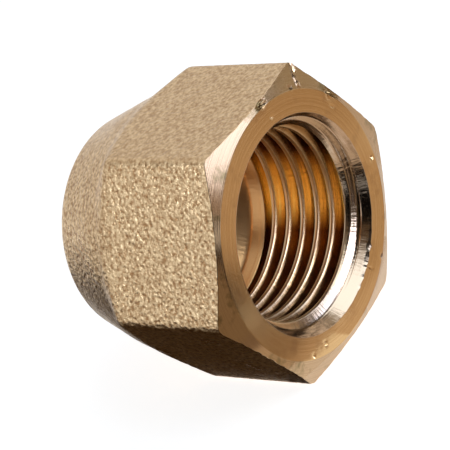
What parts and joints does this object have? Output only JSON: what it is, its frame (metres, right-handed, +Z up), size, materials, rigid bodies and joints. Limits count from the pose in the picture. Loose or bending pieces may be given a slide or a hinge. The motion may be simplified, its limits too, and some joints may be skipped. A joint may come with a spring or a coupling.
{
  "type": "union nut",
  "caption": "Forged brass union nut: hexagon with a tapered round collar, internal parallel pipe thread at one end, cone seat and plain tail hole at the other.",
  "frame": {"origin": "centre of the bottom of the bounding box: the middle of the hexagon flat that the nut lies on", "axes": "+Z up through the flats, the nut's axis along Y with the open threaded face towards -Y and the collar towards +Y, +X along two opposite corners"},
  "size_m": [0.0308, 0.0228, 0.027],
  "materials": {
    "brass": "shot-blasted forged outside, turned face, thread and seat"
  },
  "bodies": {
    "root": {"union_nut": "brass"}
  },
  "joints": []
}
